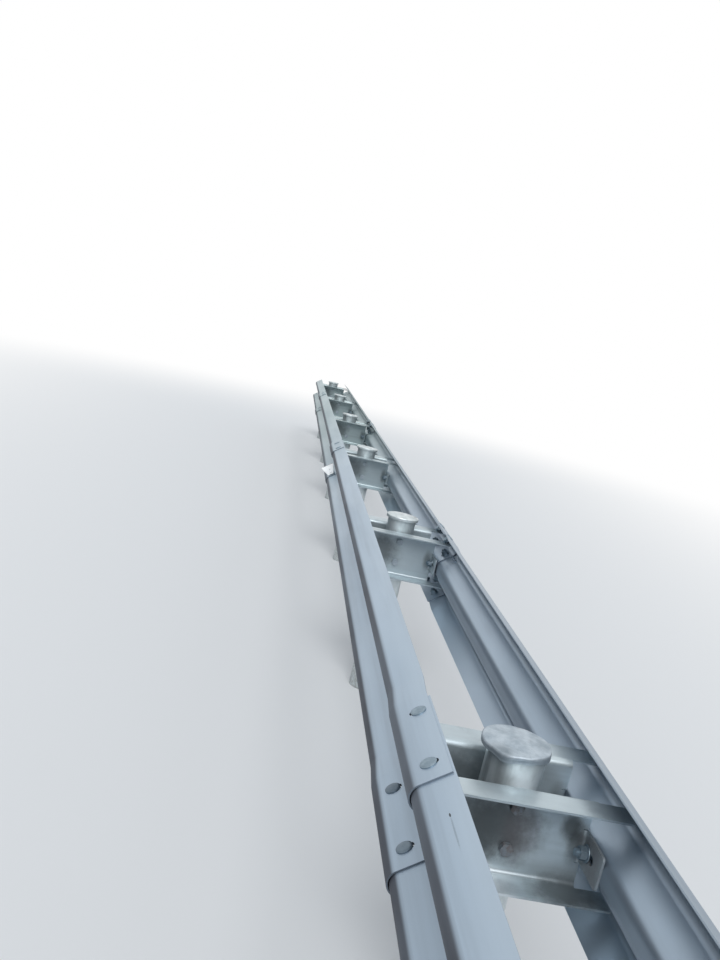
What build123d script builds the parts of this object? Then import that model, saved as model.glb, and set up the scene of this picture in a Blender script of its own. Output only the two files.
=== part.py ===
from build123d import *
import os
from math import cos, radians, sin, sqrt

# Double-sided W-beam guardrail on round posts, six bays of a longer run.
# Millimetres. X runs along the road, +Y is the left rail, Z is up.
# The origin is the centre of the middle post's foot, at ground level.

# run
bay_length = 2000.0
bay_count = 6
middle_post = 3

# post and cap
post_diameter = 114.0
post_wall = 4.5
post_top_z = 746.0
cap_overhang = 9.0
cap_wall = 4.0
cap_skirt_height = 13.0
cap_corner_radius = 4.0
cap_dome_rise = 4.0
cap_flat_ring = 16.0
cap_collar_wall = 3.0
cap_collar_depth = 15.0
cap_collar_clearance = 0.3

# transverse channels
channel_height = 180.0
channel_top_z = 695.0
channel_flange = 70.0
channel_thickness = 4.5
channel_bend_radius = 9.0
channel_post_standoff = 13.0
tongue_reach = 50.0
web_end_setback = 2.0
tab_height = 66.0
tab_reach = 95.0
tab_bend_radius = 6.0
tab_corner_radius = 8.0
tab_relief = 2.0
tab_slot_offset = 38.0
tab_slot_width = 18.0
tab_slot_length = 44.0
saddle_width = 60.0
saddle_height = 125.0
saddle_wrap = 11.5
saddle_clearance = 0.2
post_bolt_hole = 18.0
upper_bolt_z = 655.0
lower_bolt_z = 570.0

# W-beam rail
rail_height = 282.0
rail_depth = 70.0
rail_edge_depth = 4.0
rail_thickness = 3.0
rail_inner_radius = 24.0
rail_slope_angle = 55.0
rail_centre_z = 600.0
rail_back_y = 148.0
rail_seat_clearance = 0.2

# lap joints
lap_length = 320.0
lap_clearance = 0.3
lap_run_out = 12.0
joggle_length = 90.0
splice_bolt_x = 104.0
splice_slot_width = 20.0
splice_slot_length = 30.0
splice_slot_shift = 4.0
valley_slot_width = 18.0
valley_slot_length = 44.0

# delineator on the left rail at the middle post
delineator_long_side = 84.0
delineator_short_side = 36.0
delineator_height = 58.0
delineator_thickness = 12.0
delineator_corner_radius = 4.0
delineator_foot_gap = 1.0
delineator_down_slope = 8.0
bracket_thickness = 3.0
bracket_width = 40.0
bracket_length = 34.0
bracket_upright = 44.0
bracket_hole_diameter = 18.0

# how far a cutting solid runs past what it cuts
cut_margin = 5.0

# derived sizes
post_radius = post_diameter / 2
cap_radius = post_radius + cap_overhang
web_inner_x = post_radius + channel_post_standoff
channel_bottom_z = channel_top_z - channel_height
channel_middle_z = channel_top_z - channel_height / 2
channel_outer_radius = channel_bend_radius + channel_thickness
channel_half_length = rail_back_y + tongue_reach
web_half_length = rail_back_y - web_end_setback
tab_slot_x = web_inner_x + tab_slot_offset
lap_half = lap_length / 2
centre_radius = rail_inner_radius + rail_thickness / 2
valley_depth = rail_thickness / 2
crest_depth = rail_depth - rail_thickness / 2
slope_sin = sin(radians(rail_slope_angle))
slope_cos = cos(radians(rail_slope_angle))
joggle_shift = (rail_thickness + lap_clearance) / slope_cos


def rail_sizes():
    """Straight lengths and crest height that make the section close on its height."""
    bend_rise = centre_radius * (1 - slope_cos)
    inner_slope = (crest_depth - valley_depth - 2 * bend_rise) / slope_sin
    outer_slope = (crest_depth - rail_edge_depth - bend_rise) / slope_sin
    outer_run = centre_radius * slope_sin + outer_slope * slope_cos
    crest_height = rail_height / 2 - outer_run
    valley_half = crest_height - 2 * centre_radius * slope_sin - inner_slope * slope_cos
    return inner_slope, outer_slope, crest_height, valley_half


inner_slope, outer_slope, crest_height, valley_half = rail_sizes()


def half_outline(offset):
    """Upper half of the section at an offset from mid-thickness, as points and arc mid-points."""
    valley_centre = (valley_depth + centre_radius, valley_half)
    valley_radius = centre_radius - offset
    crest_centre = (crest_depth - centre_radius, crest_height)
    crest_radius = centre_radius + offset
    half_angle = radians(rail_slope_angle / 2)
    valley_start = (valley_depth + offset, valley_half)
    valley_middle = (
        valley_centre[0] - valley_radius * cos(half_angle),
        valley_centre[1] + valley_radius * sin(half_angle),
    )
    valley_end = (
        valley_centre[0] - valley_radius * slope_cos,
        valley_centre[1] + valley_radius * slope_sin,
    )
    crest_start = (
        crest_centre[0] + crest_radius * slope_cos,
        crest_centre[1] - crest_radius * slope_sin,
    )
    crest_middle = (crest_centre[0] + crest_radius, crest_centre[1])
    crest_end = (crest_start[0], crest_centre[1] + crest_radius * slope_sin)
    edge = (
        crest_end[0] - outer_slope * slope_sin,
        crest_end[1] + outer_slope * slope_cos,
    )
    return [
        ("start", valley_start),
        ("arc", valley_middle, valley_end),
        ("line", crest_start),
        ("arc", crest_middle, crest_end),
        ("line", edge),
    ]


def section_point(point, side):
    return Vector(0, point[0], side * point[1])


def half_edges(offset, side):
    """Edges of one half of the outline, from the valley out to the sheet's edge."""
    edges = []
    last = None
    for step in half_outline(offset):
        end = section_point(step[-1], side)
        if step[0] == "line":
            edges.append(Edge.make_line(last, end))
        elif step[0] == "arc":
            middle = section_point(step[1], side)
            edges.append(Edge.make_three_point_arc(last, middle, end))
        last = end
    return edges


def rail_section():
    """W-beam section in the YZ plane, its back plane on Y = 0 and its middle on Z = 0."""
    edges = []
    for offset in (rail_thickness / 2, -rail_thickness / 2):
        for side in (1, -1):
            edges += half_edges(offset, side)
        low = section_point((valley_depth + offset, valley_half), -1)
        high = section_point((valley_depth + offset, valley_half), 1)
        edges.append(Edge.make_line(low, high))
    for side in (1, -1):
        outer = section_point(half_outline(rail_thickness / 2)[-1][-1], side)
        inner = section_point(half_outline(-rail_thickness / 2)[-1][-1], side)
        edges.append(Edge.make_line(outer, inner))
    return Face(Wire.combine(edges)[0])


def slot_spots():
    """Depth and rise of a splice slot's middle, on the outer and on the inner slope.

    The slots sit off the slopes' middles, towards the crest."""
    bend_depth = crest_depth - centre_radius * (1 - slope_cos)
    bend_rise = centre_radius * slope_sin
    outer = outer_slope / 2 - splice_slot_shift
    inner = inner_slope / 2 - splice_slot_shift
    outer_spot = (bend_depth - outer * slope_sin, crest_height + bend_rise + outer * slope_cos)
    inner_spot = (bend_depth - inner * slope_sin, crest_height - bend_rise - inner * slope_cos)
    return outer_spot, inner_spot


def slope_slots(x, shift):
    """Four slots at one splice column, one on each slope of the section.

    In a shifted end they stand on the axes of the slots underneath."""
    slots = []
    lift = shift * slope_cos
    for (depth, rise), lean in zip(slot_spots(), (1, -1)):
        for side in (1, -1):
            normal = (0, slope_cos, side * lean * slope_sin)
            origin = (x, depth + lift * slope_cos, side * (rise + lean * lift * slope_sin))
            plane = Plane(origin=origin, x_dir=(1, 0, 0), z_dir=normal)
            outline = SlotOverall(splice_slot_length, splice_slot_width, rotation=90)
            slots.append(extrude(plane * outline, amount=rail_thickness + cut_margin, both=True))
    return slots


def valley_slots(post_x, shift):
    """Two slots in the valley at a post, one for each channel's tab."""
    slots = []
    for side in (1, -1):
        origin = (post_x + side * tab_slot_x, valley_depth + shift, 0)
        plane = Plane(origin=origin, x_dir=(1, 0, 0), z_dir=(0, 1, 0))
        outline = SlotOverall(valley_slot_length, valley_slot_width)
        slots.append(extrude(plane * outline, amount=rail_thickness + cut_margin, both=True))
    return slots


def rail_panel(bays, joggled):
    """One rail panel over a number of bays, its first post at X = 0, facing +Y.

    A joggled first end stands outside the panel before it; the other end lies inside."""
    section = rail_section()
    start = -lap_half
    end = bays * bay_length + lap_half
    if joggled:
        shifted_end = lap_half + lap_run_out
        base_start = shifted_end + joggle_length
        outer = Pos(start, joggle_shift, 0) * section
        body = Solid.extrude(outer, Vector(shifted_end - start, 0, 0))
        bend = Pos(shifted_end, joggle_shift, 0) * section
        body += Solid.extrude(bend, Vector(joggle_length, -joggle_shift, 0))
        body += Solid.extrude(Pos(base_start, 0, 0) * section, Vector(end - base_start, 0, 0))
    else:
        body = Solid.extrude(Pos(start, 0, 0) * section, Vector(end - start, 0, 0))
    slots = []
    for post in (0, bays):
        shift = joggle_shift if joggled and post == 0 else 0
        for column in (-splice_bolt_x, splice_bolt_x):
            slots += slope_slots(post * bay_length + column, shift)
    for post in range(bays + 1):
        shift = joggle_shift if joggled and post == 0 else 0
        slots += valley_slots(post * bay_length, shift)
    return body - slots


def post_tube():
    tube = Cylinder(post_radius, post_top_z, align=(Align.CENTER, Align.CENTER, Align.MIN))
    bore = Cylinder(
        post_radius - post_wall, post_top_z, align=(Align.CENTER, Align.CENTER, Align.MIN)
    )
    holes = []
    for z in (upper_bolt_z, lower_bolt_z):
        hole = Cylinder(post_bolt_hole / 2, post_diameter + 2 * cut_margin)
        holes.append(Pos(0, 0, z) * Rot(0, 90, 0) * hole)
    return tube - bore - holes


def cap_dome_height(radius, distance):
    """Rise of the cap's shallow dome, of a given radius, at a distance from its middle."""
    sphere = (radius**2 + cap_dome_rise**2) / (2 * cap_dome_rise)
    return sqrt(sphere**2 - distance**2) - sphere + cap_dome_rise


def post_cap():
    """Domed disc with a turned-down rim and a collar that drops inside the tube."""
    inner = cap_radius - cap_wall
    dome = cap_radius - cap_flat_ring
    shoulder = cap_radius - cap_corner_radius
    corner_point = cap_corner_radius * (1 - sqrt(0.5))
    top = post_top_z + cap_wall
    rim_z = top - cap_skirt_height
    collar_outer = post_radius - post_wall - cap_collar_clearance
    collar_inner = collar_outer - cap_collar_wall
    collar_z = post_top_z - cap_collar_depth
    edges = [
        Edge.make_three_point_arc(
            (0, 0, top + cap_dome_rise),
            (dome / 2, 0, top + cap_dome_height(dome, dome / 2)),
            (dome, 0, top),
        ),
        Edge.make_line((dome, 0, top), (shoulder, 0, top)),
        Edge.make_three_point_arc(
            (shoulder, 0, top),
            (cap_radius - corner_point, 0, top - corner_point),
            (cap_radius, 0, top - cap_corner_radius),
        ),
        Edge.make_line((cap_radius, 0, top - cap_corner_radius), (cap_radius, 0, rim_z)),
        Edge.make_line((cap_radius, 0, rim_z), (inner, 0, rim_z)),
        Edge.make_line((inner, 0, rim_z), (inner, 0, post_top_z)),
        Edge.make_line((inner, 0, post_top_z), (collar_outer, 0, post_top_z)),
        Edge.make_line((collar_outer, 0, post_top_z), (collar_outer, 0, collar_z)),
        Edge.make_line((collar_outer, 0, collar_z), (collar_inner, 0, collar_z)),
        Edge.make_line((collar_inner, 0, collar_z), (collar_inner, 0, post_top_z)),
        Edge.make_line((collar_inner, 0, post_top_z), (0, 0, post_top_z)),
        Edge.make_line((0, 0, post_top_z), (0, 0, top + cap_dome_rise)),
    ]
    return revolve(Face(Wire.combine(edges)[0]), Axis.Z, 360)


def channel_section():
    """C section in the XZ plane, its web on the post's side and its flanges towards +X."""
    outer = Rectangle(channel_flange, channel_height, align=(Align.MIN, Align.MIN))
    outer = fillet(outer.vertices().sort_by(Axis.X)[:2], channel_outer_radius)
    inner = Pos(channel_thickness, channel_thickness) * Rectangle(
        channel_flange, channel_height - 2 * channel_thickness, align=(Align.MIN, Align.MIN)
    )
    inner = fillet(inner.vertices().sort_by(Axis.X)[:2], channel_bend_radius)
    return outer - inner


def end_tab():
    """Tab bent from the web's end so that it lies along the back of the rail at +Y."""
    low = rail_centre_z - tab_height / 2
    depth = tab_bend_radius + channel_thickness + tab_relief
    plane = Plane(origin=(web_inner_x, rail_back_y - depth, low))
    outside = Rectangle(tab_reach, depth, align=(Align.MIN, Align.MIN))
    outside_bend = outside.vertices().group_by(Axis.X)[0].sort_by(Axis.Y)[-1]
    outside = fillet(outside_bend, tab_bend_radius + channel_thickness)
    inside = Pos(channel_thickness, 0) * Rectangle(
        tab_reach, depth - channel_thickness, align=(Align.MIN, Align.MIN)
    )
    inside_bend = inside.vertices().group_by(Axis.X)[0].sort_by(Axis.Y)[-1]
    inside = fillet(inside_bend, tab_bend_radius)
    tab = extrude(plane * (outside - inside), amount=tab_height)
    tab = fillet(tab.edges().filter_by(Axis.Y).group_by(Axis.X)[-1], tab_corner_radius)
    slot_plane = Plane(
        origin=(tab_slot_x, rail_back_y, rail_centre_z), x_dir=(1, 0, 0), z_dir=(0, 1, 0)
    )
    outline = slot_plane * SlotOverall(tab_slot_length, tab_slot_width)
    return tab - extrude(outline, amount=channel_thickness + cut_margin, both=True)


def saddle():
    """Pad behind the web, hollowed to the post's round side."""
    middle = (upper_bolt_z + lower_bolt_z) / 2
    hollow = Cylinder(post_radius + saddle_clearance, saddle_height + 2 * cut_margin)
    depth = channel_post_standoff + saddle_wrap
    block = Pos(web_inner_x - depth / 2, 0, middle) * Box(depth, saddle_width, saddle_height)
    return block - Pos(0, 0, middle) * hollow


def web_notch(side):
    """Removes the web and its bends past the rail's back, which leaves the two tongues."""
    length = channel_half_length - web_half_length + cut_margin
    block = Box(2 * channel_outer_radius, length, channel_height + 2 * cut_margin)
    return Pos(web_inner_x, side * (web_half_length + length / 2), channel_middle_z) * block


def tab_window(side):
    """Clears the web around the tab's bend."""
    length = tab_bend_radius + channel_thickness + tab_relief
    depth = 2 * (channel_thickness + cut_margin)
    block = Box(depth, length, tab_height + 2 * tab_relief)
    return Pos(web_inner_x, side * (rail_back_y - length / 2), rail_centre_z) * block


def channel():
    """Transverse channel on the +X side of a post, a tab at each end."""
    plane = Plane(origin=(web_inner_x, 0, channel_bottom_z), x_dir=(1, 0, 0), z_dir=(0, -1, 0))
    body = extrude(plane * channel_section(), amount=channel_half_length, both=True)
    for side in (1, -1):
        body -= web_notch(side)
        body -= tab_window(side)
    tab = end_tab()
    body += tab
    body += mirror(tab, about=Plane.XZ)
    body += saddle()
    for z in (upper_bolt_z, lower_bolt_z):
        hole = Cylinder(post_bolt_hole / 2, 2 * (web_inner_x + channel_thickness + cut_margin))
        body -= Pos(0, 0, z) * Rot(0, 90, 0) * hole
    return body


def lower_slope_plane(x, shift):
    """Plane on the outside of the lower lobe's inner slope, X along the road, Y down the slope."""
    depth, rise = slot_spots()[1]
    lift = rail_thickness / 2 + shift * slope_cos
    origin = (
        x,
        rail_back_y + rail_seat_clearance + depth + lift * slope_cos,
        rail_centre_z - rise + lift * slope_sin,
    )
    return Plane(origin=origin, x_dir=(1, 0, 0), z_dir=(0, slope_cos, slope_sin))


def delineator_plane():
    return lower_slope_plane(-splice_bolt_x, joggle_shift)


def delineator_bracket():
    """Angle under a splice bolt that carries the delineator."""
    foot = Pos(0, 0, bracket_thickness / 2) * Box(
        bracket_width, bracket_length, bracket_thickness
    )
    upright_x = -bracket_width / 2 + bracket_thickness / 2
    upright = Pos(upright_x, 0, bracket_upright / 2) * Box(
        bracket_thickness, bracket_length, bracket_upright
    )
    body = foot + upright
    hole = Cylinder(bracket_hole_diameter / 2, 2 * (bracket_thickness + cut_margin))
    return delineator_plane() * (body - hole)


def delineator_body():
    """Trapezoid reflector plate standing on the bracket, its faces across the road."""
    half_long = delineator_long_side / 2
    half_short = delineator_short_side / 2
    foot = bracket_thickness + delineator_foot_gap
    middle = delineator_down_slope
    outline = Polygon(
        (middle - half_short, foot),
        (middle + half_short, foot),
        (middle + half_long, foot + delineator_height),
        (middle - half_long, foot + delineator_height),
        align=None,
    )
    outline = fillet(outline.vertices(), delineator_corner_radius)
    face_plane = Plane(origin=(-bracket_width / 2, 0, 0), x_dir=(0, 1, 0), z_dir=(1, 0, 0))
    plate = extrude(face_plane * outline, amount=-delineator_thickness)
    return delineator_plane() * plate


def left(x, shape):
    """Place a panel built facing +Y on the left rail, its first post at x."""
    return Pos(x, rail_back_y + rail_seat_clearance, rail_centre_z) * shape


def right(x, shape):
    """Turn a panel built facing +Y to the right rail, its first post at x."""
    return Rot(0, 0, 180) * left(-x, shape)


def build():
    parts = {}
    tube = post_tube()
    cap = post_cap()
    beam = channel()
    for index in range(bay_count + 1):
        x = (index - middle_post) * bay_length
        parts[f"post_{index}"] = Pos(x, 0, 0) * tube
        parts[f"cap_{index}"] = Pos(x, 0, 0) * cap
        parts[f"channel_{index}_far"] = Pos(x, 0, 0) * beam
        parts[f"channel_{index}_near"] = Pos(x, 0, 0) * Rot(0, 0, 180) * beam
    first_x = -middle_post * bay_length
    last_x = (bay_count - middle_post) * bay_length
    plain_short = rail_panel(1, False)
    joggled_short = rail_panel(1, True)
    plain_long = rail_panel(2, False)
    joggled_long = rail_panel(2, True)
    parts["rail_left_0"] = left(first_x, plain_short)
    parts["rail_left_1"] = left(first_x + bay_length, joggled_long)
    parts["rail_left_2"] = left(first_x + 3 * bay_length, joggled_long)
    parts["rail_left_3"] = left(first_x + 5 * bay_length, joggled_short)
    parts["rail_right_0"] = right(first_x + 2 * bay_length, joggled_long)
    parts["rail_right_1"] = right(first_x + 4 * bay_length, joggled_long)
    parts["rail_right_2"] = right(last_x, plain_long)
    parts["delineator_bracket"] = delineator_bracket()
    parts["delineator_body"] = delineator_body()
    return parts


os.makedirs("parts", exist_ok=True)
for name, shape in build().items():
    export_step(shape, f"parts/{name}.step")
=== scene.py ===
import math
import random
from itertools import product

import bmesh
import bpy
from mathutils import Matrix, Vector


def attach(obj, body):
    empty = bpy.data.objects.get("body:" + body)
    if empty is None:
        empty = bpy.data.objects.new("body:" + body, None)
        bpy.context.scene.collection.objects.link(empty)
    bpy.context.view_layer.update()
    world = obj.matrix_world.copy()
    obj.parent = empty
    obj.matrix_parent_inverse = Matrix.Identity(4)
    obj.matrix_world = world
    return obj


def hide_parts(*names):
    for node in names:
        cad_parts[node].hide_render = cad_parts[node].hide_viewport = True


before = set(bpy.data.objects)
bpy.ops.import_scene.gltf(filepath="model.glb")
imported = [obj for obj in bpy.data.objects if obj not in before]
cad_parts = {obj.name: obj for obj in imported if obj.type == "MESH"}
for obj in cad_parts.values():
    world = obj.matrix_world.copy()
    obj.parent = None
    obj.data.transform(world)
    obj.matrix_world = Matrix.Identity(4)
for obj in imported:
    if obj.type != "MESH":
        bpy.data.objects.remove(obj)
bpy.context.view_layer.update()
print("frame loaded:", len(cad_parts), "pieces")

# sizes and places of the run's own pieces, in metres
run = {
    "bay": 2.0,
    "posts": 7,
    "middlePost": 3,
    "nearPost": 1,
    "railBack": 0.1482,
    "railMiddle": 0.6,
    "railSheet": 0.003,
    "bracketSheet": 0.003,
    "webFace": 0.0745,
    "tabFace": 0.1435,
    "tabBolt": 0.098,
    "throughBolts": (0.655, 0.570),
    "lapStep": 0.00575,
    "lapGap": 0.0003,
    "slope": math.radians(55),
}
# each rail's name, its side and the posts where its panels lap
rails = (("left", 1, (1, 3, 5)), ("right", -1, (2, 4)))
slopeSin = math.sin(run["slope"])
slopeCos = math.cos(run["slope"])


def postX(index):
    return (index - run["middlePost"]) * run["bay"]


# small helpers for working in edit mode

def pickOnly(*pieces):
    bpy.ops.object.select_all(action="DESELECT")
    for piece in pieces:
        piece.select_set(True)
    bpy.context.view_layer.objects.active = pieces[0]


def startEdit(piece, mode="FACE"):
    pickOnly(piece)
    bpy.ops.object.mode_set(mode="EDIT")
    bpy.ops.mesh.select_mode(type=mode)
    bpy.ops.mesh.select_all(action="DESELECT")


def endEdit():
    bpy.ops.object.mode_set(mode="OBJECT")


def pickParts(piece, kind, wanted):
    mesh = bmesh.from_edit_mesh(piece.data)
    for part in getattr(mesh, kind):
        part.select_set(False)
    for part in getattr(mesh, kind):
        if wanted(part):
            part.select_set(True)
    bmesh.update_edit_mesh(piece.data)


def pickFaces(piece, wanted):
    pickParts(piece, "faces", wanted)


def pickEdges(piece, wanted):
    pickParts(piece, "edges", wanted)


def facing(way, least=0.9):
    # wants the faces that look up where way is 1, or down where it is -1
    return lambda face: face.normal.z * way > least


def riseOf(edge):
    return abs(edge.verts[0].co.z - edge.verts[1].co.z)


def pushOut(distance):
    bpy.ops.mesh.extrude_region_move(TRANSFORM_OT_translate={"value": (0, 0, distance)})


def widen(ratio):
    bpy.ops.transform.resize(value=(ratio, ratio, 1), center_override=(0, 0, 0))


def settleMesh(piece, angle=35):
    pickOnly(piece)
    bpy.ops.object.mode_set(mode="EDIT")
    bpy.ops.mesh.select_all(action="SELECT")
    bpy.ops.mesh.remove_doubles(threshold=0.00001)
    bpy.ops.mesh.normals_make_consistent(inside=False)
    bpy.ops.object.mode_set(mode="OBJECT")
    bpy.ops.object.transform_apply(location=True, rotation=True, scale=True)
    bpy.ops.object.shade_smooth_by_angle(angle=math.radians(angle))


def addCylinder(sides, radius, height, middle):
    # on the Z axis, with its middle at that height
    bpy.ops.object.select_all(action="DESELECT")
    bpy.ops.mesh.primitive_cylinder_add(vertices=sides, radius=radius, depth=height, location=(0, 0, middle))
    bpy.ops.object.transform_apply(location=True, rotation=True, scale=True)
    return bpy.context.object


def addBlock(size, middle=0.0):
    bpy.ops.object.select_all(action="DESELECT")
    bpy.ops.mesh.primitive_cube_add(size=1, location=(0, 0, middle))
    piece = bpy.context.object
    piece.scale = size
    bpy.ops.object.transform_apply(location=True, rotation=True, scale=True)
    return piece


def seatAt(spot, axis, turn=0.0):
    # a frame at spot with its Z along axis, turned about it
    up = Vector(axis).normalized()
    side = Vector((1, 0, 0)) if abs(up.x) < 0.9 else Vector((0, 1, 0))
    across = up.cross(side).normalized()
    side = across.cross(up)
    turned = Matrix((side, across, up)).transposed().to_4x4()
    return Matrix.Translation(spot) @ turned @ Matrix.Rotation(turn, 4, "Z")


def placeCopy(pattern, where):
    piece = pattern.copy()
    piece.data = pattern.data.copy()
    bpy.context.scene.collection.objects.link(piece)
    piece.data.transform(where)
    return piece


def joinAs(name, pieces):
    pickOnly(*pieces)
    if len(pieces) > 1:
        bpy.ops.object.join()
    joined = bpy.context.view_layer.objects.active
    joined.name = name
    joined.data.name = name
    return joined


# small helpers for node trees

def addNode(tree, kind, **settings):
    made = tree.nodes.new(kind)
    for key, value in settings.items():
        setattr(made, key, value)
    return made


def feed(tree, source, target):
    if isinstance(source, bpy.types.NodeSocket):
        tree.links.new(source, target)
    else:
        target.default_value = source


def doMath(tree, action, first, second=0.5, third=None, clamp=False):
    made = addNode(tree, "ShaderNodeMath", operation=action, use_clamp=clamp)
    feed(tree, first, made.inputs[0])
    feed(tree, second, made.inputs[1])
    if third is not None:
        feed(tree, third, made.inputs[2])
    return made.outputs[0]


def doVector(tree, action, first, second):
    made = addNode(tree, "ShaderNodeVectorMath", operation=action)
    feed(tree, first, made.inputs[0])
    feed(tree, second, made.inputs[1])
    return made.outputs[0]


def lengthOf(tree, vector):
    made = addNode(tree, "ShaderNodeVectorMath", operation="LENGTH")
    feed(tree, vector, made.inputs[0])
    return made.outputs["Value"]


def flip(tree, value):
    return doMath(tree, "SUBTRACT", 1.0, value)


def lessHalf(tree, value):
    return doMath(tree, "SUBTRACT", value, 0.5)


def doRange(tree, value, low, high, toLow=0.0, toHigh=1.0):
    made = addNode(tree, "ShaderNodeMapRange", clamp=True, interpolation_type="SMOOTHSTEP")
    feed(tree, value, made.inputs["Value"])
    for socket, amount in zip(("From Min", "From Max", "To Min", "To Max"), (low, high, toLow, toHigh)):
        feed(tree, amount, made.inputs[socket])
    return made.outputs["Result"]


def splitAxes(tree, vector):
    made = addNode(tree, "ShaderNodeSeparateXYZ")
    feed(tree, vector, made.inputs[0])
    return made.outputs


def mixTone(tree, share, first, second):
    # sockets 6 and 7 are this node's two colours, output 2 its blend
    made = addNode(tree, "ShaderNodeMix", data_type="RGBA")
    feed(tree, share, made.inputs[0])
    feed(tree, first, made.inputs[6])
    feed(tree, second, made.inputs[7])
    return made.outputs[2]


def addNoise(tree, place, scale, detail, roughness):
    made = addNode(tree, "ShaderNodeTexNoise")
    feed(tree, place, made.inputs["Vector"])
    feed(tree, scale, made.inputs["Scale"])
    made.inputs["Detail"].default_value = detail
    made.inputs["Roughness"].default_value = roughness
    return made.outputs["Fac"]


def addPatches(tree, place, noise, cut):
    return doRange(tree, addNoise(tree, place, *noise), *cut)


def addBump(tree, shader, height, strength, distance):
    made = addNode(tree, "ShaderNodeBump")
    made.inputs["Strength"].default_value = strength
    made.inputs["Distance"].default_value = distance
    feed(tree, height, made.inputs["Height"])
    feed(tree, made.outputs[0], shader.inputs["Normal"])


def startFinish(name):
    # a new material with its tree, its shader and the place on the piece
    finish = bpy.data.materials.new(name)
    finish.use_nodes = True
    tree = finish.node_tree
    return finish, tree, tree.nodes["Principled BSDF"], tree.nodes.new("ShaderNodeTexCoord").outputs["Object"]


def startGroup(name, inputs, outputs):
    tree = bpy.data.node_groups.new(name, "ShaderNodeTree")
    for way, sockets in (("INPUT", inputs), ("OUTPUT", outputs)):
        for title, kind in sockets.items():
            tree.interface.new_socket(name=title, in_out=way, socket_type="NodeSocket" + kind)
    return tree, tree.nodes.new("NodeGroupInput").outputs, tree.nodes.new("NodeGroupOutput").inputs


def useGroup(tree, group, **values):
    made = addNode(tree, "ShaderNodeGroup", node_tree=group)
    for key, value in values.items():
        feed(tree, value, made.inputs[key])
    return made.outputs


# finishes: hot-dip zinc, dust, road splash, handling marks, painted shade, painted highlights and a painted
# glow
# a noise is its scale, detail and roughness, a cut the two values that it is stretched between

zincSkin = {
    "warpScale": 90.0, "warp": 0.012, "cloudNoise": (4.0, 0.6), "cloudCut": (0.3, 0.7), "cloudTone": 0.62,
    "leastTone": 0.19, "grit": (420.0, 2.0, 0.5), "gritTone": 0.25, "cloudRough": -0.12, "cellRough": 0.03,
    "cloudHeight": 0.5, "gritHeight": 0.4,
}


def makeZincGroup():
    look = zincSkin
    tree, given, result = startGroup(
        "zincSkin",
        {
            "Place": "Vector", "Bright": "Color", "Dull": "Color", "Crystal": "Float", "Patch": "Float",
            "Contrast": "Float", "Satin": "Float",
        },
        {"Color": "Color", "Roughness": "Float", "Height": "Float"},
    )
    place = given["Place"]
    # crystals of uneven outline, each with a tone of its own
    warp = addNode(tree, "ShaderNodeTexNoise")
    feed(tree, place, warp.inputs["Vector"])
    warp.inputs["Scale"].default_value = look["warpScale"]
    nudge = doVector(tree, "SUBTRACT", warp.outputs["Color"], (0.5, 0.5, 0.5))
    shift = doVector(tree, "MULTIPLY", nudge, (look["warp"],) * 3)
    cells = addNode(tree, "ShaderNodeTexVoronoi", feature="F1")
    feed(tree, doVector(tree, "ADD", place, shift), cells.inputs["Vector"])
    feed(tree, doMath(tree, "DIVIDE", 1.0, given["Crystal"]), cells.inputs["Scale"])
    split = addNode(tree, "ShaderNodeSeparateColor")
    feed(tree, cells.outputs["Color"], split.inputs[0])
    cell = lessHalf(tree, split.outputs[0])
    # cloudy patches where the bath drained unevenly
    patch = addNoise(tree, place, doMath(tree, "DIVIDE", 1.0, given["Patch"]), *look["cloudNoise"])
    cloud = doRange(tree, patch, *look["cloudCut"])
    grit = addNoise(tree, place, *look["grit"])
    tone = doMath(tree, "ADD", doMath(tree, "MULTIPLY", cell, given["Contrast"]), look["leastTone"])
    tone = doMath(tree, "MULTIPLY_ADD", cloud, look["cloudTone"], tone, clamp=True)
    tone = doMath(tree, "MULTIPLY_ADD", lessHalf(tree, grit), look["gritTone"], tone, clamp=True)
    feed(tree, mixTone(tree, tone, given["Dull"], given["Bright"]), result["Color"])
    rough = doMath(tree, "MULTIPLY_ADD", lessHalf(tree, cloud), look["cloudRough"], given["Satin"])
    rough = doMath(tree, "MULTIPLY_ADD", cell, look["cellRough"], rough, clamp=True)
    feed(tree, rough, result["Roughness"])
    height = doMath(tree, "MULTIPLY", grit, look["gritHeight"])
    height = doMath(tree, "MULTIPLY_ADD", patch, look["cloudHeight"], height)
    feed(tree, height, result["Height"])
    return tree


def makeMaskGroup(name, draw, extras):
    # a group whose mask is what draw makes, times Amount
    inputs = {"Place": "Vector", **extras, "Amount": "Float"}
    tree, given, result = startGroup(name, inputs, {"Mask": "Float"})
    mask = doMath(tree, "MULTIPLY", draw(tree, given), given["Amount"], clamp=True)
    feed(tree, mask, result["Mask"])
    return tree


def splitNormal(tree):
    return splitAxes(tree, addNode(tree, "ShaderNodeNewGeometry").outputs["Normal"])


settledDust = {
    "lying": (0.15, 0.95), "drift": ((9.0, 6.0, 0.65), (0.35, 0.75)),
    "specks": ((240.0, 2.0, 0.5), (0.5, 0.72)), "speckShare": 0.15,
}


def drawDust(tree, given):
    look = settledDust
    lying = doRange(tree, splitNormal(tree)["Z"], *look["lying"])
    drift = addPatches(tree, given["Place"], *look["drift"])
    specks = addPatches(tree, given["Place"], *look["specks"])
    return doMath(tree, "MULTIPLY", lying, doMath(tree, "MULTIPLY_ADD", specks, look["speckShare"], drift))


roadSplash = {
    "ragged": (14.0, 5.0, 0.7), "raggedReach": 0.4,
    "drops": ((130.0, 3.0, 0.6), (0.4, 0.62)), "dropShare": 0.6,
}


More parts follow.
